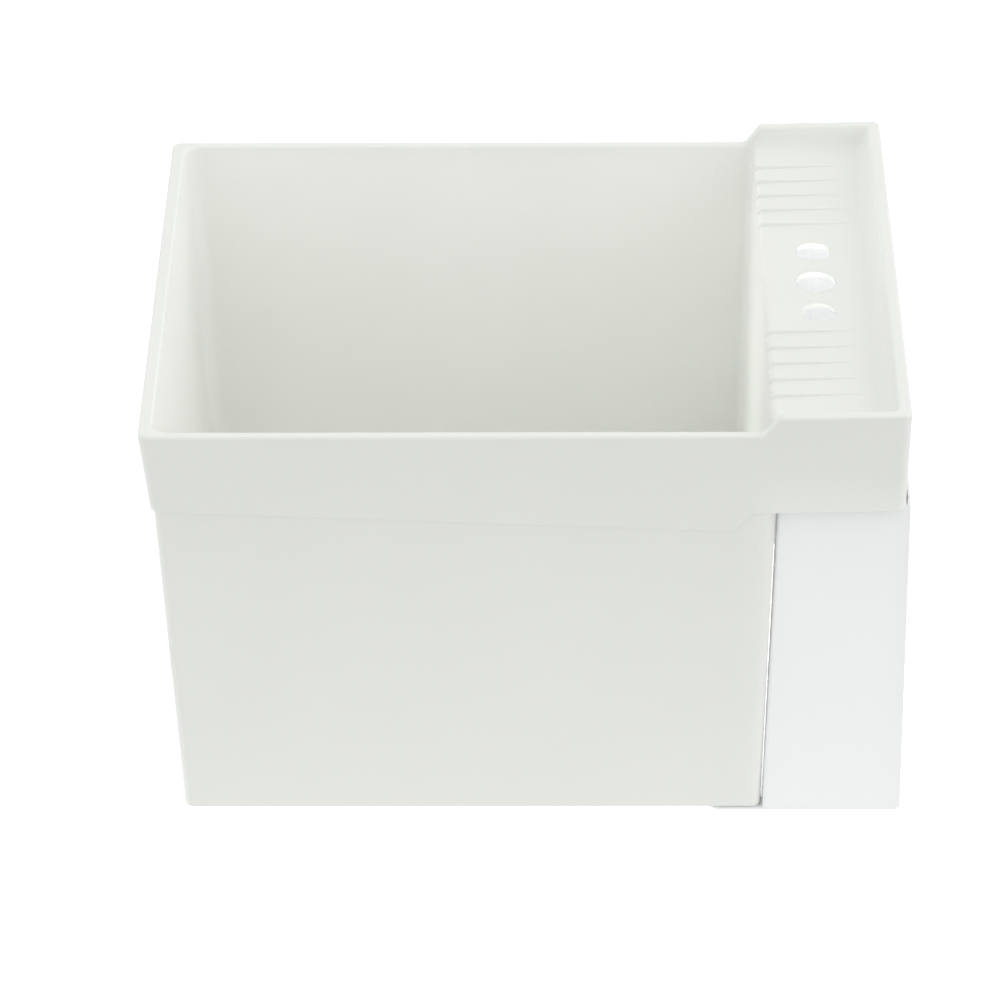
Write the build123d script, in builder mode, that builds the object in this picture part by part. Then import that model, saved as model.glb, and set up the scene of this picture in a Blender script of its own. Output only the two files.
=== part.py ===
from build123d import *
import os
from math import asin, degrees

# Wall-hung utility sink: a moulded basin with a faucet deck, carried by a sheet-steel wall
# bracket, with a drain, a rubber stopper and the stopper's pull ring.
# Millimetres. Y = 0 is the wall and the user stands at -Y. X = 0 is the middle.
# Z = 0 is the centre of the four wall bolts.

os.makedirs("parts", exist_ok=True)

# Basin, outside. A lean is the change across for each millimetre of height.
base_z = -140.0
rim_z = base_z + 355.0
skin_half = 248.2
skin_front = -599.0
skin_rear = -2.5
skin_corner = 8.0
skin_side_lean = 0.0635
skin_front_lean = 0.1078
skin_rear_lean = 0.028
wall_half = 231.0
wall_front = -574.6
wall_rear = -111.8
wall_side_lean = 0.0368
wall_front_lean = 0.0509
wall_rear_lean = 0.0235
wall_top_z = rim_z - 15.0
base_round = 3.0
band_round = 1.2

# Rim: level round the bowl, then a step up and a gentle rise beside the faucet deck
step_foot_y = -116.1
step_top_y = -102.9
step_top_z = rim_z + 16.6
step_foot_round = 5.0
step_top_round = 4.0
rim_rise = 0.02
rim_round = 2.5

# Lower edge of the band round the basin, which drops towards the front, as (y, z) points
band_front = (-650.0, rim_z - 67.3)
band_step_foot = (-136.9, rim_z - 89.0)
band_step_top = (-123.4, rim_z - 72.5)
band_rear = (50.0, rim_z - 68.8)

# Basin, inside
bowl_half = 239.0
bowl_front = -587.8
bowl_side_lean = 0.0352
bowl_front_lean = 0.0499
bowl_rear_lean = 0.0229
bowl_front_corner = 14.0
bowl_side_corner = 5.0
bowl_floor_corner = 10.0
floor_z = base_z + 6.0
floor_margin = 14.0
floor_fall = 7.5
floor_thickness = 6.0
dish_margin = 50.0
dish_corner = 20.0

# Faucet deck
deck_front = -108.1
deck_round = 5.0
deck_rear = -13.0
deck_cove = 14.5
deck_under_z = rim_z - 3.85
skirt_wall = 4.5
faucet_y = -65.8
faucet_spacing = 101.6
faucet_hole_r = 14.0
spout_hole_r = 16.0

# Draining grooves across the deck, on each side of the faucet holes
groove_count = 5
groove_first_x = 90.5
groove_pitch = 25.4
groove_width = 19.6
groove_shoulder = 1.0
groove_rear = -25.0
groove_depth = 3.2
groove_floor = 3.4

# Bosses under the deck, and the screws that hold the deck down on the bracket
flange_z = rim_z - 25.0
boss_r = 8.0
rail_boss_x = (-190.0, -65.0, 65.0, 190.0)
rail_boss_y = -25.0
wing_boss_x = 222.0
wing_boss_y = -58.0
pilot_r = 2.1
pilot_depth = 16.0
screw_r = 2.05
screw_reach = 14.0
screw_head_r = 4.6
screw_head = 3.0
screw_slot = 1.2
screw_hole_r = 2.6
washer_r = 6.5
washer_thickness = 1.0

# Wall bracket
steel = 2.0
bend_r = 3.0
wing_x = 231.5
wing_lip = 18.0
wing_front_foot = -110.4
wing_front_lean = 0.0242
wing_notch_z = 143.0
wing_rear_top = -10.4
panel_top = 148.0
panel_lip = 57.0
window_width = 350.0
window_height = 190.0
window_corner = 16.0
bolt_spacing_x = 406.4
bolt_spacing_z = 203.2
bolt_hole_r = 4.75
rail_half = 205.0
rail_foot_z = 110.0
rail_jog_foot = 133.0
rail_jog_top = 141.0
rail_front = -40.0
shelf_front = -155.0
shelf_corner = 12.0
shelf_leg = 28.0
shelf_leg_half = 222.0
shelf_window_half = 180.0
shelf_window_front = -98.0
shelf_window_rear = -20.0

# Drain, on the middle of the basin's floor
drain_y = (wall_front + wall_rear) / 2
sump_half = 50.0
sump_corner = 20.0
drain_floor_z = floor_z - floor_fall
drain_recess_r = 42.0
drain_seat_z = drain_floor_z - 3.0
drain_pad_r = 52.0
drain_pad_z = drain_seat_z - 5.5
drain_hole_r = 26.0
seal_r = 39.0
seal_thickness = 0.8
flange_r = 40.0
flange_thickness = 1.8
flange_round = 1.4
thread_r = 24.1
thread_gap = 0.1
flange_top_z = drain_seat_z + seal_thickness + flange_thickness
mouth_r = 22.8
seat_r = 20.8
seat_z = flange_top_z - 13.0
plate_z = seat_z - 8.0
plate_thickness = 1.5
plate_hole_r = 2.4
plate_rings = ((8.0, 6), (15.0, 12))
bore_r = 18.6
body_end_z = drain_pad_z - 34.0
gasket_r = 38.0
gasket_thickness = 3.0
friction_r = 34.0
friction_thickness = 0.8
locknut_r = 33.0
locknut_height = 11.0
nut_lug = 3.5
nut_lugs = 6
tube_r = 19.05
tube_wall = 1.5
tube_neck_r = 18.8
tube_neck_below_nut = 4.0
tube_flange_r = 22.8
tube_flange = 1.8
tube_washer = 2.0
tube_end_z = base_z - 110.0
coupling_r = 28.5
coupling_cover = 13.0
coupling_lip = 3.0
coupling_chamfer = 2.0

# Stopper
plug_gap = 0.3
plug_lift = 1.0
plug_height = 16.5
plug_round = 1.2
eye_r = 3.0
eye_wire = 0.9
eye_rise = 5.0
eye_root = 8.0
eye_collar_r = 2.3
ring_r = 10.0
ring_wire = 1.0

# Cutters reach past what they cut by this much, and stop this far short of what they spare
past = 50.0
void_rise = 47.0
spared = 0.05

# An edge is picked by its middle, which lies this near to a line
near = 1.5

standing = (Align.CENTER, Align.CENTER, Align.MIN)


def drafted_block(level, low, high, corner=0.0):
    """Solid from low to high. level(z) gives its half width, front and rear at a height."""
    with BuildPart() as block:
        for z in (low, high):
            half, front, rear = level(z)
            with BuildSketch(Plane.XY.offset(z)):
                with Locations((0, (front + rear) / 2)):
                    if corner:
                        RectangleRounded(2 * half, rear - front, corner)
                    else:
                        Rectangle(2 * half, rear - front)
        loft(ruled=True)
    return block.part


def prism(corners, left=-skin_half - past, right=skin_half + past):
    """Prism along X, from corners (y, z) or (y, z, radius)."""
    points = [corner[:2] for corner in corners]
    radii = [corner[2] if len(corner) > 2 else 0 for corner in corners]
    with BuildPart() as block:
        with BuildSketch(Plane.YZ.offset(left)):
            with BuildLine():
                FilletPolyline(*points, radius=radii, close=True)
            make_face()
        extrude(amount=right - left)
    return block.part


def turned(points):
    """Solid of revolution about the drain's axis, from points (radius, z)."""
    with BuildPart() as block:
        with BuildSketch(Plane.XZ.offset(-drain_y)):
            with BuildLine():
                Polyline(*points, close=True)
            make_face()
        revolve(axis=Axis((0, drain_y, 0), (0, 0, 1)))
    return block.part


def washer(inner, outer, low, high):
    """Flat ring about the drain's axis."""
    return turned([(inner, low), (outer, low), (outer, high), (inner, high)])


def skin_level(z):
    """Band and deck skirt, which lean out upwards."""
    drop = rim_z - z
    rear = skin_rear - skin_rear_lean * drop
    return skin_half - skin_side_lean * drop, skin_front + skin_front_lean * drop, rear


def wall_level(z):
    """Outside of the bowl's four walls."""
    rise = z - base_z
    rear = wall_rear + wall_rear_lean * rise
    return wall_half + wall_side_lean * rise, wall_front - wall_front_lean * rise, rear


def bowl_level(z):
    """Inside of the bowl at its sides and front, and on back to the rear of the deck."""
    drop = rim_z - z
    return bowl_half - bowl_side_lean * drop, bowl_front + bowl_front_lean * drop, deck_rear


def bowl_rear(z):
    """Y of the bowl's rear wall, which stands in front of the deck."""
    return deck_front - bowl_rear_lean * (rim_z - z)


def under_deck_level(z):
    """Space behind the bowl, under the deck and inside the skirt."""
    half, front, rear = skin_level(z)
    return half - skirt_wall, wall_level(z)[2], rear - skirt_wall


def rim_height(y):
    """Height of the rim's top at a distance from the wall."""
    if y < step_foot_y:
        return rim_z
    if y < step_top_y:
        share = (y - step_foot_y) / (step_top_y - step_foot_y)
        return rim_z + (step_top_z - rim_z) * share
    return step_top_z + rim_rise * (y - step_top_y)


def on_rim(edge):
    """True for an edge that runs along the rim's top."""
    middle = edge @ 0.5
    return abs(middle.Z - rim_height(middle.Y)) < near


def on_band(edge):
    """True for an edge round the band's lower rim, but not for the two that cross under it."""
    middle = edge @ 0.5
    crossing = abs(middle.X) < near and band_step_foot[0] < middle.Y + near < band_step_top[0] + 2 * near
    return middle.Z < band_rear[1] + near and not crossing


def upright(face):
    """True for a face that stands nearly upright."""
    return abs(face.normal_at().Z) < 0.2


def beside_deck(edge):
    """True for an edge on the void's side planes, from the bowl's rear wall backwards."""
    middle = edge @ 0.5
    on_side = abs(abs(middle.X) - bowl_level(middle.Z)[0]) < near
    return on_side and middle.Y > step_foot_y - deck_cove


def front_corner(edge):
    """True for the void's two upright edges at the front."""
    middle = edge @ 0.5
    half, front, rear = bowl_level(middle.Z)
    return abs(middle.Y - front) < near and abs(abs(middle.X) - half) < near


# Basin

band_start_z = band_step_foot[1] - past / 2
below_band = prism(
    [
        (band_front[0], band_start_z - past),
        band_front,
        band_step_foot,
        band_step_top,
        band_rear,
        (band_rear[0], band_start_z - past),
    ]
)

with BuildPart() as skin:
    add(drafted_block(skin_level, band_start_z, step_top_z + past / 4, skin_corner))
    add(below_band, mode=Mode.SUBTRACT)
    fillet(skin.edges().filter_by(on_band), radius=band_round)

with BuildPart() as walls:
    add(drafted_block(wall_level, base_z, wall_top_z, skin_corner))
    fillet(walls.edges().group_by(Axis.Z)[0], radius=base_round)

above_rim = prism(
    [
        (skin_front - past, rim_z + past),
        (skin_front - past, rim_z),
        (step_foot_y, rim_z, step_foot_round),
        (step_top_y, step_top_z, step_top_round),
        (past, rim_height(past)),
        (past, rim_z + past),
    ]
)

# One void holds the bowl and the space over the deck, so the rim is one strip all round
behind_bowl = prism(
    [
        (bowl_rear(base_z - past), base_z - past),
        (deck_front, rim_z, deck_round),
        (deck_rear, rim_z, deck_cove),
        (deck_rear, rim_z + past),
        (0, rim_z + past),
        (0, base_z - past),
    ]
)

with BuildPart() as void:
    add(drafted_block(bowl_level, floor_z, rim_z + void_rise))
    add(behind_bowl, mode=Mode.SUBTRACT)
    fillet(void.edges().filter_by(beside_deck), radius=bowl_side_corner)
    fillet(void.edges().filter_by(front_corner), radius=bowl_front_corner)
    fillet(void.edges().group_by(Axis.Z)[0], radius=bowl_floor_corner)

# Each groove deepens towards the bowl and rounds over into it
groove_x = [
    side * (groove_first_x + index * groove_pitch)
    for side in (-1, 1)
    for index in range(groove_count)
]
groove_foot = (bowl_rear(rim_z - groove_depth), rim_z - groove_depth)
shoulder_x = groove_width / 2 + 2 * groove_shoulder
shoulder_z = rim_z + spared
over_grooves = prism(
    [
        (groove_rear, rim_z),
        (*groove_foot, deck_round),
        (bowl_rear(rim_z - past), rim_z - past),
        (deck_front - past, rim_z - past),
        (deck_front - past, rim_z + past),
        (groove_rear, rim_z + past),
    ]
)

with BuildPart() as grooves:
    with BuildSketch(Plane.XZ.offset(-groove_rear)):
        for x in groove_x:
            with BuildLine():
                FilletPolyline(
                    (x - groove_width / 2, rim_z - past),
                    (x - groove_width / 2, shoulder_z),
                    (x - shoulder_x, shoulder_z),
                    (x - shoulder_x, rim_z + past),
                    (x + shoulder_x, rim_z + past),
                    (x + shoulder_x, shoulder_z),
                    (x + groove_width / 2, shoulder_z),
                    (x + groove_width / 2, rim_z - past),
                    radius=(0, groove_shoulder, 0, 0, 0, 0, groove_shoulder, 0),
                    close=True,
                )
            make_face()
    extrude(amount=groove_rear - deck_front + past / 2)
    add(over_grooves, mode=Mode.INTERSECT)

# Under the deck, the ceiling follows the grooves down and the screw bosses hang from it
boss_places = [(x, rail_boss_y) for x in rail_boss_x]
boss_places += [(side * wing_boss_x, wing_boss_y) for side in (-1, 1)]
groove_inner_x = min(map(abs, groove_x)) - shoulder_x
groove_outer_x = max(map(abs, groove_x)) + shoulder_x

with BuildPart() as under_deck:
    add(drafted_block(under_deck_level, band_start_z, deck_under_z, skin_corner - skirt_wall))
    with Locations(*[(x, y, flange_z) for x, y in boss_places]):
        Cylinder(boss_r, past, align=standing, mode=Mode.SUBTRACT)
    for left, right in ((-groove_outer_x, -groove_inner_x), (groove_inner_x, groove_outer_x)):
        groove_pad = prism(
            [
                (groove_rear, rim_z - groove_floor),
                (groove_foot[0], groove_foot[1] - groove_floor),
                (groove_foot[0], rim_z),
                (groove_rear, rim_z),
            ],
            left,
            right,
        )
        add(groove_pad, mode=Mode.SUBTRACT)


def floor_level(level, height, margin, half):
    """Level function of four slopes from a drawn-in floor down to a square at the drain."""

    def slopes(z):
        if z < height:
            return half, drain_y - half, drain_y + half
        edge_half, front, rear = level(height)
        return edge_half - margin, front + margin, rear - margin

    return slopes


def bowl_floor_level(z):
    """Bowl's floor, out to its four walls."""
    half, front, rear = bowl_level(z)
    return half, front, bowl_rear(z)


sump_level = floor_level(bowl_floor_level, floor_z, floor_margin, sump_half)
dish_level = floor_level(wall_level, base_z, dish_margin, drain_pad_r)
dish_z = drain_floor_z - floor_thickness

with BuildPart() as tub:
    add(skin.part)
    add(walls.part)
    add(drafted_block(dish_level, dish_z, base_z, dish_corner))
    with Locations((0, drain_y, drain_pad_z)):
        Cylinder(drain_pad_r, base_z - drain_pad_z, align=standing)
    add(under_deck.part, mode=Mode.SUBTRACT)
    add(void.part, mode=Mode.SUBTRACT)
    add(above_rim, mode=Mode.SUBTRACT)
    rim_edges = tub.faces().filter_by(upright).edges().filter_by(on_rim)
    fillet(rim_edges, radius=rim_round)
    add(drafted_block(sump_level, drain_floor_z, floor_z, sump_corner), mode=Mode.SUBTRACT)
    with Locations((0, drain_y, drain_seat_z)):
        Cylinder(drain_recess_r, past, align=standing, mode=Mode.SUBTRACT)
    with Locations((0, drain_y, drain_pad_z)):
        Cylinder(drain_hole_r, past, mode=Mode.SUBTRACT)
    add(grooves.part, mode=Mode.SUBTRACT)
    with Locations((0, faucet_y, rim_z)):
        Cylinder(spout_hole_r, past, mode=Mode.SUBTRACT)
    with Locations(*[(side * faucet_spacing / 2, faucet_y, rim_z) for side in (-1, 1)]):
        Cylinder(faucet_hole_r, past, mode=Mode.SUBTRACT)
    with Locations(*[(x, y, flange_z) for x, y in boss_places]):
        Cylinder(pilot_r, pilot_depth, align=standing, mode=Mode.SUBTRACT)
tub.part.label = "tub"
export_step(tub.part, "parts/tub.step")


# Wall bracket. Its sheets are spot-welded together.


def sheet(plane, points, side, amount, both=False):
    """Bent sheet: the points follow one face, and the other lies to the side given."""
    with BuildPart() as bent:
        with BuildSketch(plane):
            with BuildLine():
                FilletPolyline(*points, radius=[bend_r] * (len(points) - 2))
                offset(amount=steel, side=side)
            make_face()
        extrude(amount=amount, both=both)
    return bent.part


panel_half = wing_x - steel

with BuildPart() as wall_panel:
    add(
        sheet(
            Plane.XY.offset(base_z),
            [
                (-panel_half, -panel_lip),
                (-panel_half, 0),
                (panel_half, 0),
                (panel_half, -panel_lip),
            ],
            Side.RIGHT,
            panel_top - base_z,
        )
    )
    with BuildSketch(Plane.XZ.offset(-past)):
        RectangleRounded(window_width, window_height, window_corner)
        with GridLocations(bolt_spacing_x, bolt_spacing_z, 2, 2):
            Circle(bolt_hole_r)
    extrude(amount=2 * past, mode=Mode.SUBTRACT)
    # Above the wings' notch only the flat back goes on, behind the basin's skirt
    with Locations((0, -steel, wing_notch_z)):
        Box(
            2 * wing_x,
            panel_lip,
            past,
            align=(Align.CENTER, Align.MAX, Align.MIN),
            mode=Mode.SUBTRACT,
        )
wall_panel.part.label = "wall_panel"
export_step(wall_panel.part, "parts/wall_panel.step")

with BuildPart() as hanger_rail:
    add(
        sheet(
            Plane.YZ,
            [
                (-steel, rail_foot_z),
                (-steel, rail_jog_foot),
                (wing_rear_top, rail_jog_top),
                (wing_rear_top, flange_z),
                (rail_front, flange_z),
            ],
            Side.LEFT,
            rail_half,
            both=True,
        )
    )
    with Locations(*[(x, rail_boss_y, flange_z) for x in rail_boss_x]):
        Cylinder(screw_hole_r, 4 * steel, mode=Mode.SUBTRACT)
hanger_rail.part.label = "hanger_rail"
export_step(hanger_rail.part, "parts/hanger_rail.step")


def wing_front(z):
    """Y of a wing's front, which runs close behind the bowl."""
    return wing_front_foot + wing_front_lean * (z - base_z)


def outer_edge(edge):
    """True for a wing's front and top edges on its outer face."""
    middle = edge @ 0.5
    at_front = abs(middle.Y - wing_front(middle.Z)) < 0.01
    return abs(middle.X - wing_x) < 0.01 and (at_front or abs(middle.Z - flange_z) < 0.01)


wing_pocket = prism(
    [
        (past, base_z - past),
        (past, flange_z - steel),
        (wing_front(flange_z - steel) + steel, flange_z - steel),
        (wing_front(base_z - past) + steel, base_z - past),
    ],
    wing_x - wing_lip - past,
    wing_x - steel,
)

with BuildPart() as right_wing:
    add(
        prism(
            [
                (0, base_z),
                (0, wing_notch_z),
                (wing_rear_top, wing_notch_z, bend_r),
                (wing_rear_top, flange_z),
                (wing_front(flange_z), flange_z),
                (wing_front(base_z), base_z),
            ],
            wing_x - wing_lip,
            wing_x,
        )
    )
    fillet(right_wing.edges().filter_by(outer_edge), radius=bend_r)
    add(wing_pocket, mode=Mode.SUBTRACT)
    with Locations((wing_boss_x, wing_boss_y, flange_z)):
        Cylinder(screw_hole_r, 4 * steel, mode=Mode.SUBTRACT)
right_wing.part.label = "right_wing"
export_step(right_wing.part, "parts/right_wing.step")

with BuildPart() as left_wing:
    mirror(right_wing.part, about=Plane.YZ)
left_wing.part.label = "left_wing"
export_step(left_wing.part, "parts/left_wing.step")

shelf_low_z = base_z - steel
shelf_window_y = (shelf_window_front + shelf_window_rear) / 2
shelf_window_depth = shelf_window_rear - shelf_window_front

with BuildPart() as support_shelf:
    add(
        sheet(
            Plane.YZ,
            [(-steel, base_z + shelf_leg), (-steel, shelf_low_z), (shelf_front, shelf_low_z)],
            Side.RIGHT,
            wing_x,
            both=True,
        )
    )
    with BuildSketch(Plane.XY.offset(base_z)):
        for side in (-1, 1):
            with Locations((side * (shelf_leg_half + past / 2), -steel)):
                Rectangle(past, 2 * bend_r)
    extrude(amount=past, mode=Mode.SUBTRACT)
    fillet(
        support_shelf.edges().filter_by(Axis.Z).group_by(Axis.Y)[0],
        radius=shelf_corner,
    )
    with BuildSketch(Plane.XY.offset(base_z - past / 2)):
        with Locations((0, shelf_window_y)):
            RectangleRounded(2 * shelf_window_half, shelf_window_depth, window_corner)
    extrude(amount=past, mode=Mode.SUBTRACT)
support_shelf.part.label = "support_shelf"
export_step(support_shelf.part, "parts/support_shelf.step")

# Deck screws, driven upwards through the bracket's flanges into the bosses

screw_places = [(x, y, flange_z - steel) for x, y in boss_places]

with BuildPart() as screw:
    with Locations((0, 0, -washer_thickness - screw_head)):
        Cylinder(screw_head_r, screw_head, align=standing)
    fillet(screw.edges().group_by(Axis.Z)[0], radius=screw_head / 2)
    with Locations((0, 0, -washer_thickness - screw_head)):
        Box(screw_slot, 2 * screw_head_r, screw_slot, align=standing, mode=Mode.SUBTRACT)
    with Locations((0, 0, -washer_thickness)):
        Cylinder(screw_r, washer_thickness + steel + screw_reach, align=standing)

with BuildPart() as screw_washer:
    with BuildSketch(Plane.XY.offset(-washer_thickness)):
        Circle(washer_r)
        Circle(screw_hole_r, mode=Mode.SUBTRACT)
    extrude(amount=washer_thickness)

with BuildPart() as deck_screws:
    with Locations(*screw_places):
        add(screw.part)
deck_screws.part.label = "deck_screws"
export_step(deck_screws.part, "parts/deck_screws.step")

with BuildPart() as deck_washers:
    with Locations(*screw_places):
        add(screw_washer.part)
deck_washers.part.label = "deck_washers"
export_step(deck_washers.part, "parts/deck_washers.step")

# Drain

seal_top_z = drain_seat_z + seal_thickness

with BuildPart() as flange_seal:
    add(washer(drain_hole_r, seal_r, drain_seat_z, seal_top_z))
flange_seal.part.label = "flange_seal"
export_step(flange_seal.part, "parts/flange_seal.step")

with BuildPart() as strainer_body:
    add(
        turned(
            [
                (bore_r, body_end_z),
                (thread_r, body_end_z),
                (thread_r, seal_top_z),
                (flange_r, seal_top_z),
                (flange_r, flange_top_z),
                (mouth_r, flange_top_z),
                (seat_r, seat_z),
                (seat_r, plate_z),
                (bore_r, plate_z),
            ]
        )
    )
    top_edges = strainer_body.edges().group_by(Axis.Z)[-1]
    fillet(top_edges.sort_by(SortBy.RADIUS)[-1], radius=flange_round)
strainer_body.part.label = "strainer_body"
export_step(strainer_body.part, "parts/strainer_body.step")

with BuildPart() as strainer_plate:
    with BuildSketch(Plane.XY.offset(plate_z)):
        with Locations((0, drain_y)):
            Circle(seat_r - thread_gap)
            Circle(plate_hole_r, mode=Mode.SUBTRACT)
            for radius, count in plate_rings:
                with PolarLocations(radius, count):
                    Circle(plate_hole_r, mode=Mode.SUBTRACT)
    extrude(amount=plate_thickness)
strainer_plate.part.label = "strainer_plate"
export_step(strainer_plate.part, "parts/strainer_plate.step")

gasket_low_z = drain_pad_z - gasket_thickness
friction_low_z = gasket_low_z - friction_thickness
locknut_low_z = friction_low_z - locknut_height
nut_bore = thread_r + thread_gap

with BuildPart() as drain_gasket:
    add(washer(nut_bore, gasket_r, gasket_low_z, drain_pad_z))
drain_gasket.part.label = "drain_gasket"
export_step(drain_gasket.part, "parts/drain_gasket.step")

with BuildPart() as friction_ring:
    add(washer(nut_bore, friction_r, friction_low_z, gasket_low_z))
friction_ring.part.label = "friction_ring"
export_step(friction_ring.part, "parts/friction_ring.step")


def lugs(radius, low, high):
    """Lugs round a nut, for a wrench or a hammer and drift."""
    with BuildPart() as block:
        with BuildSketch(Plane.XY.offset(low)):
            with Locations((0, drain_y)):
                with PolarLocations(radius, nut_lugs):
                    Rectangle(2 * nut_lug, 3 * nut_lug)
        extrude(amount=high - low)
    return block.part


with BuildPart() as drain_locknut:
    add(washer(nut_bore, locknut_r, locknut_low_z, friction_low_z))
    add(lugs(locknut_r, locknut_low_z, friction_low_z))
drain_locknut.part.label = "drain_locknut"
export_step(drain_locknut.part, "parts/drain_locknut.step")

tube_washer_z = body_end_z - tube_washer
tube_flange_z = tube_washer_z - tube_flange
coupling_low_z = tube_flange_z - coupling_lip
coupling_top_z = body_end_z + coupling_cover
lip_r = tube_r + plug_gap

with BuildPart() as tailpiece_washer:
    add(washer(bore_r, tube_flange_r, tube_washer_z, body_end_z))
tailpiece_washer.part.label = "tailpiece_washer"
export_step(tailpiece_washer.part, "parts/tailpiece_washer.step")

# The tube is a little slimmer where the coupling nut hangs on it
tube_neck_z = coupling_low_z - tube_neck_below_nut
tube_bore_r = tube_r - tube_wall

with BuildPart() as tailpiece:
    add(washer(tube_bore_r, tube_r, tube_end_z, tube_neck_z))
    add(washer(tube_bore_r, tube_neck_r, tube_neck_z, tube_washer_z))
    add(washer(tube_bore_r, tube_flange_r, tube_flange_z, tube_washer_z))
tailpiece.part.label = "tailpiece"
export_step(tailpiece.part, "parts/tailpiece.step")

with BuildPart() as coupling_nut:
    add(
        turned(
            [
                (lip_r, coupling_low_z),
                (coupling_r - coupling_chamfer, coupling_low_z),
                (coupling_r, coupling_low_z + coupling_chamfer),
                (coupling_r, coupling_top_z),
                (nut_bore, coupling_top_z),
                (nut_bore, tube_flange_z),
                (lip_r, tube_flange_z),
            ]
        )
    )
    add(lugs(coupling_r, coupling_low_z + coupling_chamfer, coupling_top_z))
coupling_nut.part.label = "coupling_nut"
export_step(coupling_nut.part, "parts/coupling_nut.step")

# Stopper, which sits in the strainer's tapered mouth

mouth_taper = (mouth_r - seat_r) / (flange_top_z - seat_z)
plug_foot_z = seat_z + plug_lift
plug_top_z = plug_foot_z + plug_height
plug_foot_r = seat_r + mouth_taper * (plug_foot_z - seat_z) - plug_gap
plug_top_r = plug_foot_r + mouth_taper * plug_height

with BuildPart() as stopper:
    add(
        turned(
            [
                (0, plug_foot_z),
                (plug_foot_r, plug_foot_z),
                (plug_top_r, plug_top_z),
                (0, plug_top_z),
            ]
        )
    )
    fillet(stopper.edges().group_by(Axis.Z)[-1], radius=plug_round)
    with Locations((0, drain_y, plug_top_z - eye_root)):
        Cylinder(eye_wire + thread_gap, past, align=standing, mode=Mode.SUBTRACT)
stopper.part.label = "stopper"
export_step(stopper.part, "parts/stopper.step")

eye_z = plug_top_z + eye_rise
with BuildPart() as eye_loop:
    with Locations(Plane((0, drain_y, eye_z), z_dir=(1, 0, 0)).location):
        Torus(eye_r, eye_wire)

with BuildPart() as stopper_eye:
    with Locations((0, drain_y, plug_top_z - eye_root)):
        Cylinder(eye_wire, eye_root + eye_rise - eye_r, align=standing)
    with Locations((0, drain_y, plug_top_z)):
        Cylinder(eye_collar_r, eye_wire, align=standing)
    add(eye_loop.part)
stopper_eye.part.label = "stopper_eye"
export_step(stopper_eye.part, "parts/stopper_eye.step")

# The ring hangs in the eye and lies forwards on the stopper
ring_tilt = degrees(asin((eye_rise - ring_wire - plug_gap) / (2 * ring_r)))
with BuildPart(Plane((0, drain_y, eye_z), z_dir=(0, 0, 1)).rotated((ring_tilt, 0, 0))) as stopper_ring:
    with Locations((0, -ring_r, 0)):
        Torus(ring_r, ring_wire)
stopper_ring.part.label = "stopper_ring"
export_step(stopper_ring.part, "parts/stopper_ring.step")
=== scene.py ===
from math import cos, radians, sin

import bpy
from mathutils import Matrix, Vector


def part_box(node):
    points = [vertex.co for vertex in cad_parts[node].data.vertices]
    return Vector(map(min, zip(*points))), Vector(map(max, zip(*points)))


# Wall-hung utility sink in a bright, even studio light.
# Metres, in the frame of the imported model: Y = 0 is the wall, the user stands at -Y, Z is up.

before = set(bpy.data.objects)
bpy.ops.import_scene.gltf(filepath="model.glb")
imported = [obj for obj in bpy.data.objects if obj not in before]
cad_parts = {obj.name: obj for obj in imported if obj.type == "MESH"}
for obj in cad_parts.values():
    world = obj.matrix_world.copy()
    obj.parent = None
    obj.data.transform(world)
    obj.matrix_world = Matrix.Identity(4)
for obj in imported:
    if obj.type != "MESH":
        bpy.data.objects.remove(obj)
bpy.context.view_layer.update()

MM = 0.001

# Camera, which looks from the user's right, down on the basin
CAMERA_PLACE = (3.95614, -0.28497, 2.37849)
CAMERA_YAW = 0.531
CAMERA_PITCH = 30.906
CAMERA_ROLL = -0.361
CAMERA_LENS = 201.07
SENSOR = 36.0

# Floor and backdrop, which the camera sees
RIM_ABOVE_FLOOR = 0.87
FLOOR_SIZE = 60.0
FLOOR_PAINT = (0.9, 0.9, 0.9, 1)
FLOOR_ROUGHNESS = 0.9
FLOOR_SPECULAR = 0.1
FLOOR_GLOW = 1.0
BACKDROP = 1.0
WHITE = (1, 1, 1, 1)

# Light from all round: from above and below, and what comes on top from the wall's side, the
# user's side and the camera's side. The sides and the horizon are blended over a short stretch
LIGHT_COLOR = (0.990, 1.0, 0.975)
SKY_LIGHT = 0.725
GROUND_LIGHT = 0.465
WALL_SIDE_LIGHT = 1.15
USER_SIDE_LIGHT = 0.5
CAMERA_SIDE_LIGHT = 0.04
SIDE_BLEND = 0.3
HORIZON_BLEND = 0.25

# Directions
UP = (0, 0, 1)
DOWN = (0, 0, -1)
TO_WALL = (0, 1, 0)
TO_LEFT = (-1, 0, 0)

# Large soft light overhead
TOP_LIGHT_HEIGHT = 3.2
TOP_LIGHT_SIZE = (4.5, 4.5)
TOP_LIGHT_POWER = 1.0

# Narrow light above the bowl, and a soft one in its mouth
BOWL_LIGHT_HEIGHT = 0.5
BOWL_LIGHT_MARGIN = 0.045
BOWL_LIGHT_SPREAD = 14.0
BOWL_LIGHT_POWER = 0.02
MOUTH_LIGHT_MARGIN = 0.01
MOUTH_LIGHT_POWER = 0.096

# Light at the bowl's front, on its rear wall
REAR_WALL_LIGHT_X = -0.08
REAR_WALL_LIGHT_GAP = 0.02
REAR_WALL_LIGHT_HEIGHT = 0.10
REAR_WALL_LIGHT_SIZE = (0.26, 0.24)
REAR_WALL_LIGHT_SPREAD = 30.0
REAR_WALL_LIGHT_POWER = 0.042

# Light under the basin, on the lower part of its walls
LOW_LIGHT_DROP = 0.35
LOW_LIGHT_SIZE = (2.0, 1.6)
LOW_LIGHT_POWER = 5.8

# Light from the user's side, below the rim, on the front corners
FRONT_LIGHT_PLACE = (0.0, -2.0, -0.15)
FRONT_LIGHT_SIZE = (0.5, 0.5)
FRONT_LIGHT_POWER = 3.5

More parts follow.
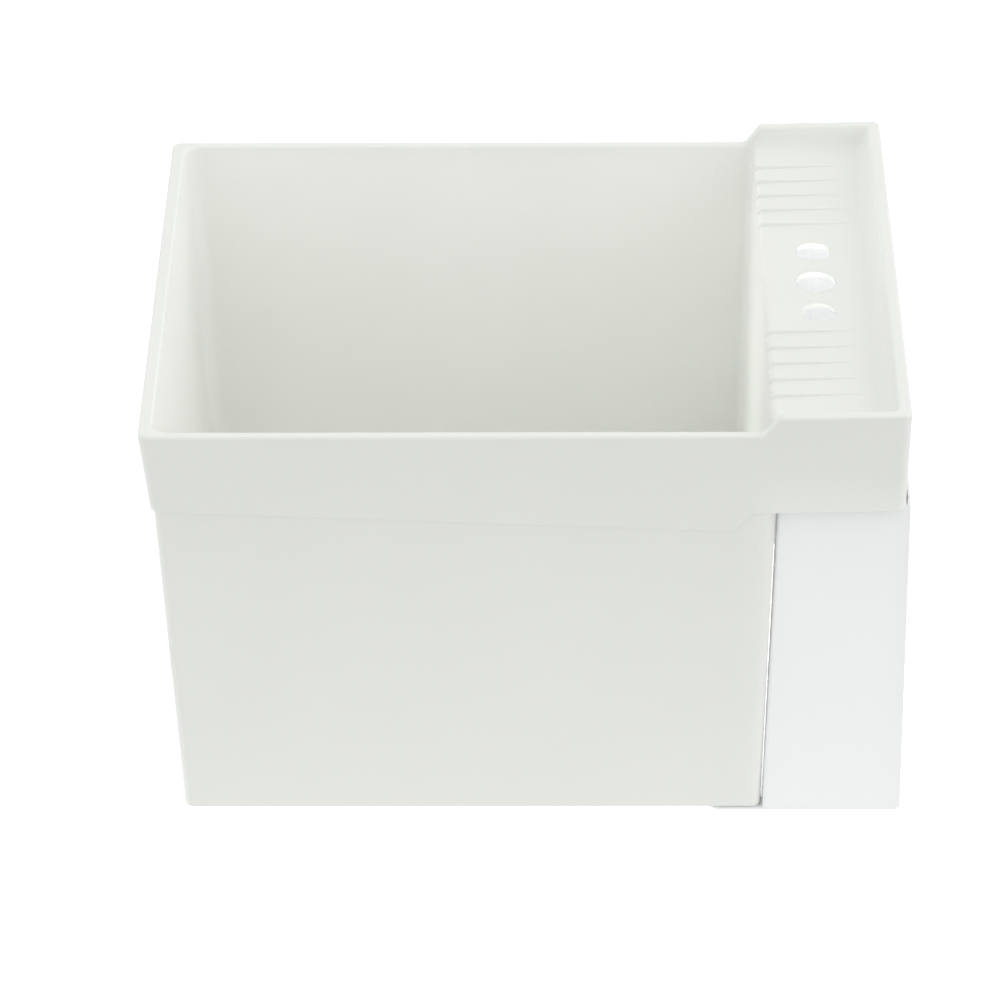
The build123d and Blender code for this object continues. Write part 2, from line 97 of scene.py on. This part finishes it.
# Light on the right wing
WING_LIGHT_PLACE = (0.6, -0.055, 0.005)
WING_LIGHT_SIZE = (0.12, 0.32)
WING_LIGHT_SPREAD = 9.0
WING_LIGHT_POWER = 0.0062

# Lights between the basin and the wall: one shows through the faucet holes, and one falls on the
# shelf, which shows through the gap beside the wing
CAVITY_LIGHT_PLACE = (0.19, -0.075, 0.08)
CAVITY_LIGHT_TOWARD = (-1.0, 0.0, 0.25)
CAVITY_LIGHT_SIZE = (0.03, 0.12)
CAVITY_LIGHT_SPREAD = 60.0
CAVITY_LIGHT_POWER = 0.078
SHELF_LIGHT_PLACE = (0.09, -0.095, 0.14)
SHELF_LIGHT_SIZE = (0.22, 0.02)
SHELF_LIGHT_SPREAD = 50.0
SHELF_LIGHT_POWER = 0.08

# Colours: a darker and a lighter one, between which the material wanders
BASIN_COLORS = ((0.904, 0.910, 0.887), (0.919, 0.925, 0.902))
ENAMEL_COLORS = ((0.96, 0.965, 0.985), (0.975, 0.98, 1.0))
RUBBER_COLORS = ((0.02, 0.02, 0.021), (0.035, 0.035, 0.036))
FIBRE_COLORS = ((0.30, 0.20, 0.11), (0.42, 0.29, 0.16))
NUT_COLORS = ((0.76, 0.76, 0.74), (0.80, 0.80, 0.78))
PIPE_COLORS = ((0.80, 0.80, 0.78), (0.84, 0.84, 0.82))

# A metal's lighter colour, and how bright its darker one is beside it
ZINC_COLOR = (0.66, 0.67, 0.68)
STEEL_COLOR = (0.60, 0.61, 0.62)
METAL_DARK_SHARE = 0.86

# How far the roughness of a plain material wanders to either side
PLAIN_GLOSS_VARY = 0.06

# Noise: its detail and roughness, and the range that most of its values lie in
NOISE_DETAIL = 3.0
NOISE_ROUGHNESS = 0.5
NOISE_LOW = 0.3
NOISE_HIGH = 0.7

# A mix node's sockets for its two colours and for the mixed one, whose names other sockets share
MIX_COLORS = (6, 7)
MIXED_COLOR = 2

tub_low, tub_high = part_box("tub")

# Bowl at the rim, and how far the rim beside the deck stands above it
BOWL_HALF = 239.0 * MM
BOWL_FRONT = -587.8 * MM
BOWL_REAR = -108.1 * MM
DECK_RISE = 16.6 * MM


# Camera


def add_camera():
    yaw = radians(CAMERA_YAW)
    pitch = radians(CAMERA_PITCH)
    roll = radians(CAMERA_ROLL)
    forward = Vector((-cos(yaw) * cos(pitch), -sin(yaw) * cos(pitch), -sin(pitch)))
    level_right = Vector((-sin(yaw), cos(yaw), 0))
    level_up = level_right.cross(forward)
    right = cos(roll) * level_right + sin(roll) * level_up
    up = cos(roll) * level_up - sin(roll) * level_right
    data = bpy.data.cameras.new("camera")
    data.lens = CAMERA_LENS
    data.sensor_width = SENSOR
    camera = bpy.data.objects.new("camera", data)
    turn = Matrix((right, up, -forward)).transposed().to_4x4()
    camera.matrix_world = Matrix.Translation(CAMERA_PLACE) @ turn
    bpy.context.scene.collection.objects.link(camera)
    bpy.context.scene.camera = camera


# Studio


def add_world():
    """Soft light from all round, stronger from above, the wall's side and the user's side.

    The camera and the reflections see a white backdrop instead.
    """
    world = bpy.data.worlds.new("studio")
    world.use_nodes = True
    tree = world.node_tree
    light = tree.nodes["Background"]
    backdrop = tree.nodes.new("ShaderNodeBackground")
    backdrop.inputs["Strength"].default_value = BACKDROP
    toward = tree.nodes.new("ShaderNodeSeparateXYZ")
    tree.links.new(tree.nodes.new("ShaderNodeTexCoord").outputs["Generated"], toward.inputs[0])
    sky = None
    sides = (("Y", USER_SIDE_LIGHT, WALL_SIDE_LIGHT), ("X", 0.0, CAMERA_SIDE_LIGHT))
    for axis, low, high in sides:
        square = tree.nodes.new("ShaderNodeMath")
        square.operation = "POWER"
        square.inputs[1].default_value = 2.0
        tree.links.new(toward.outputs[axis], square.inputs[0])
        share = tree.nodes.new("ShaderNodeMapRange")
        share.inputs["From Min"].default_value = -SIDE_BLEND
        share.inputs["From Max"].default_value = SIDE_BLEND
        share.inputs["To Min"].default_value = low
        share.inputs["To Max"].default_value = high
        tree.links.new(toward.outputs[axis], share.inputs["Value"])
        total = tree.nodes.new("ShaderNodeMath")
        total.operation = "MULTIPLY_ADD"
        tree.links.new(square.outputs[0], total.inputs[0])
        tree.links.new(share.outputs["Result"], total.inputs[1])
        if sky:
            tree.links.new(sky.outputs[0], total.inputs[2])
        else:
            total.inputs[2].default_value = SKY_LIGHT
        sky = total
    rise = tree.nodes.new("ShaderNodeMapRange")
    rise.inputs["From Min"].default_value = -HORIZON_BLEND
    rise.inputs["From Max"].default_value = HORIZON_BLEND
    rise.inputs["To Min"].default_value = GROUND_LIGHT
    tree.links.new(sky.outputs[0], rise.inputs["To Max"])
    tree.links.new(toward.outputs["Z"], rise.inputs["Value"])
    tree.links.new(rise.outputs["Result"], light.inputs["Strength"])
    light.inputs["Color"].default_value = (*LIGHT_COLOR, 1)
    backdrop.inputs["Color"].default_value = WHITE
    choice = tree.nodes.new("ShaderNodeMixShader")
    ray = tree.nodes.new("ShaderNodeLightPath")
    seen = tree.nodes.new("ShaderNodeMath")
    seen.operation = "MAXIMUM"
    tree.links.new(ray.outputs["Is Camera Ray"], seen.inputs[0])
    tree.links.new(ray.outputs["Is Glossy Ray"], seen.inputs[1])
    tree.links.new(seen.outputs[0], choice.inputs[0])
    tree.links.new(light.outputs[0], choice.inputs[1])
    tree.links.new(backdrop.outputs[0], choice.inputs[2])
    tree.links.new(choice.outputs[0], tree.nodes["World Output"].inputs["Surface"])
    bpy.context.scene.world = world
    bpy.context.scene.view_settings.view_transform = "Standard"


def add_area_light(name, place, toward, size, power, spread=180.0):
    """Area light that neither the camera nor a reflection sees."""
    data = bpy.data.lights.new(name, "AREA")
    data.shape = "RECTANGLE"
    data.size, data.size_y = size
    data.energy = power
    data.color = LIGHT_COLOR
    data.spread = radians(spread)
    light = bpy.data.objects.new(name, data)
    light.location = place
    light.rotation_euler = Vector(toward).to_track_quat("-Z", "Y").to_euler()
    light.visible_camera = False
    light.visible_glossy = False
    bpy.context.scene.collection.objects.link(light)


def add_lights():
    middle = (tub_low[1] + tub_high[1]) / 2
    bowl_middle = (BOWL_FRONT + BOWL_REAR) / 2
    width = 2 * BOWL_HALF
    length = BOWL_REAR - BOWL_FRONT

    overhead = (0, middle, TOP_LIGHT_HEIGHT)
    add_area_light("top_light", overhead, DOWN, TOP_LIGHT_SIZE, TOP_LIGHT_POWER)
    above_bowl = (0, bowl_middle, BOWL_LIGHT_HEIGHT)
    size = (width - 2 * BOWL_LIGHT_MARGIN, length - 2 * BOWL_LIGHT_MARGIN)
    add_area_light("bowl_light", above_bowl, DOWN, size, BOWL_LIGHT_POWER, BOWL_LIGHT_SPREAD)
    below = (0, middle, tub_low[2] - LOW_LIGHT_DROP)
    add_area_light("low_light", below, UP, LOW_LIGHT_SIZE, LOW_LIGHT_POWER)
    mouth = (0, bowl_middle, tub_high[2] - DECK_RISE)
    size = (width - 2 * MOUTH_LIGHT_MARGIN, length - 2 * MOUTH_LIGHT_MARGIN)
    add_area_light("mouth_light", mouth, DOWN, size, MOUTH_LIGHT_POWER)
    add_area_light(
        "rear_wall_light",
        (REAR_WALL_LIGHT_X, BOWL_FRONT + REAR_WALL_LIGHT_GAP, REAR_WALL_LIGHT_HEIGHT),
        TO_WALL,
        REAR_WALL_LIGHT_SIZE,
        REAR_WALL_LIGHT_POWER,
        REAR_WALL_LIGHT_SPREAD,
    )
    add_area_light(
        "wing_light",
        WING_LIGHT_PLACE,
        TO_LEFT,
        WING_LIGHT_SIZE,
        WING_LIGHT_POWER,
        WING_LIGHT_SPREAD,
    )
    add_area_light(
        "shelf_light",
        SHELF_LIGHT_PLACE,
        DOWN,
        SHELF_LIGHT_SIZE,
        SHELF_LIGHT_POWER,
        SHELF_LIGHT_SPREAD,
    )
    add_area_light("front_light", FRONT_LIGHT_PLACE, TO_WALL, FRONT_LIGHT_SIZE, FRONT_LIGHT_POWER)
    add_area_light(
        "cavity_light",
        CAVITY_LIGHT_PLACE,
        CAVITY_LIGHT_TOWARD,
        CAVITY_LIGHT_SIZE,
        CAVITY_LIGHT_POWER,
        CAVITY_LIGHT_SPREAD,
    )


def add_floor():
    """White floor. It passes the world's upward light, so it casts none of its own."""
    height = tub_high[2] - RIM_ABOVE_FLOOR
    half = FLOOR_SIZE / 2
    mesh = bpy.data.meshes.new("floor")
    corners = [(-half, -half), (half, -half), (half, half), (-half, half)]
    mesh.from_pydata([(x, y, height) for x, y in corners], [], [(0, 1, 2, 3)])
    floor = bpy.data.objects.new("floor", mesh)
    floor.visible_diffuse = False
    floor.visible_glossy = False
    floor.visible_shadow = False
    bpy.context.scene.collection.objects.link(floor)
    material, shader = new_material("floor_paint")
    shader.inputs["Base Color"].default_value = FLOOR_PAINT
    shader.inputs["Roughness"].default_value = FLOOR_ROUGHNESS
    shader.inputs["Specular IOR Level"].default_value = FLOOR_SPECULAR
    shader.inputs["Emission Color"].default_value = WHITE
    shader.inputs["Emission Strength"].default_value = FLOOR_GLOW
    mesh.materials.append(material)


# Material helpers


def new_material(name):
    material = bpy.data.materials.new(name)
    material.use_nodes = True
    shader = material.node_tree.nodes["Principled BSDF"]
    return material, shader


def add_node(material, kind, inputs=None, **settings):
    node = material.node_tree.nodes.new(kind)
    for name, value in settings.items():
        setattr(node, name, value)
    for name, value in (inputs or {}).items():
        node.inputs[name].default_value = value
    return node


def link(material, output, target):
    material.node_tree.links.new(output, target)


def place(material):
    """Where a point is in the piece's own frame, in metres."""
    return add_node(material, "ShaderNodeTexCoord").outputs["Object"]


def noise(material, scale, detail=NOISE_DETAIL):
    """Soft noise from 0 to 1, with its scale in waves per metre."""
    node = add_node(
        material,
        "ShaderNodeTexNoise",
        {"Scale": scale, "Detail": detail, "Roughness": NOISE_ROUGHNESS},
    )
    link(material, place(material), node.inputs["Vector"])
    return node.outputs["Fac"]


def spread(material, value, low, high):
    """Maps a noise value onto the range from low to high."""
    node = add_node(
        material,
        "ShaderNodeMapRange",
        {"From Min": NOISE_LOW, "From Max": NOISE_HIGH, "To Min": low, "To Max": high},
    )
    link(material, value, node.inputs["Value"])
    return node.outputs["Result"]


def mottle_color(material, shader, colors, scale):
    """Base colour that wanders softly between a darker and a lighter one."""
    share = spread(material, noise(material, scale), low=0.0, high=1.0)
    node = add_node(material, "ShaderNodeMix", data_type="RGBA")
    link(material, share, node.inputs["Factor"])
    for socket, color in zip(MIX_COLORS, colors):
        node.inputs[socket].default_value = (*color, 1)
    link(material, node.outputs[MIXED_COLOR], shader.inputs["Base Color"])


def vary_gloss(material, shader, low, high, scale, detail=NOISE_DETAIL):
    """Roughness that wanders softly between two values."""
    gloss = spread(material, noise(material, scale, detail), low, high)
    link(material, gloss, shader.inputs["Roughness"])


def bump(material, height, distance, strength, under=None):
    """Bump from a height, laid over the bump beneath it."""
    node = add_node(material, "ShaderNodeBump", {"Strength": strength, "Distance": distance})
    link(material, height, node.inputs["Height"])
    if under:
        link(material, under, node.inputs["Normal"])
    return node.outputs["Normal"]


# Materials


def basin_plastic():
    """Off-white moulded plastic: satin, faintly mottled, with a fine orange-peel skin."""
    material, shader = new_material("basin_plastic")
    mottle_color(material, shader, BASIN_COLORS, scale=9.0)
    vary_gloss(material, shader, low=0.36, high=0.44, scale=35.0)
    shader.inputs["Specular IOR Level"].default_value = 0.4
    fine = noise(material, scale=420.0, detail=2.0)
    peel = bump(material, fine, distance=0.05 * MM, strength=0.5)
    coarse = noise(material, scale=14.0, detail=1.0)
    waves = bump(material, coarse, distance=0.6 * MM, strength=0.25, under=peel)
    link(material, waves, shader.inputs["Normal"])
    return material


def bracket_enamel():
    """White baked enamel on sheet steel."""
    material, shader = new_material("bracket_enamel")
    mottle_color(material, shader, ENAMEL_COLORS, scale=7.0)
    vary_gloss(material, shader, low=0.28, high=0.36, scale=50.0)
    shader.inputs["Coat Weight"].default_value = 0.6
    shader.inputs["Coat Roughness"].default_value = 0.12
    fine = noise(material, scale=260.0, detail=2.0)
    peel = bump(material, fine, distance=0.05 * MM, strength=0.6)
    link(material, peel, shader.inputs["Normal"])
    return material


def metal(name, color, roughness, vary, grain):
    """Bare or plated metal with fine scratches."""
    material, shader = new_material(name)
    shader.inputs["Metallic"].default_value = 1.0
    dull = tuple(METAL_DARK_SHARE * value for value in color)
    mottle_color(material, shader, (dull, color), scale=60.0)
    low, high = roughness - vary, roughness + vary
    vary_gloss(material, shader, low, high, scale=180.0, detail=4.0)
    fine = noise(material, grain, detail=4.0)
    scratch = bump(material, fine, distance=0.03 * MM, strength=0.5)
    link(material, scratch, shader.inputs["Normal"])
    return material


def plain(name, colors, roughness, grain, height):
    """Rubber, fibre or moulded plastic: two close colours, uneven gloss and a fine grain."""
    material, shader = new_material(name)
    mottle_color(material, shader, colors, scale=80.0)
    low, high = roughness - PLAIN_GLOSS_VARY, roughness + PLAIN_GLOSS_VARY
    vary_gloss(material, shader, low, high, scale=120.0)
    skin = bump(material, noise(material, grain), height, strength=0.6)
    link(material, skin, shader.inputs["Normal"])
    return material


def paint_nodes():
    enamel = bracket_enamel()
    zinc = metal("zinc_plate", ZINC_COLOR, roughness=0.34, vary=0.08, grain=900.0)
    polished = metal("polished_steel", STEEL_COLOR, roughness=0.24, vary=0.06, grain=700.0)
    rubber = plain("black_rubber", RUBBER_COLORS, roughness=0.55, grain=700.0, height=0.06 * MM)
    fibre = plain("pressed_fibre", FIBRE_COLORS, roughness=0.8, grain=500.0, height=0.1 * MM)
    white_nut = plain("nut_plastic", NUT_COLORS, roughness=0.4, grain=400.0, height=0.05 * MM)
    pipe = plain("pipe_plastic", PIPE_COLORS, roughness=0.35, grain=350.0, height=0.04 * MM)
    finishes = {
        "tub": basin_plastic(),
        "wall_panel": enamel,
        "hanger_rail": enamel,
        "left_wing": enamel,
        "right_wing": enamel,
        "support_shelf": enamel,
        "deck_screws": zinc,
        "deck_washers": zinc,
        "flange_seal": rubber,
        "strainer_body": polished,
        "strainer_plate": polished,
        "drain_gasket": rubber,
        "friction_ring": fibre,
        "drain_locknut": white_nut,
        "tailpiece_washer": rubber,
        "tailpiece": pipe,
        "coupling_nut": white_nut,
        "stopper": rubber,
        "stopper_eye": polished,
        "stopper_ring": polished,
    }
    for name, material in finishes.items():
        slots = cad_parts[name].data.materials
        slots.clear()
        slots.append(material)


add_camera()
add_world()
add_lights()
add_floor()
paint_nodes()
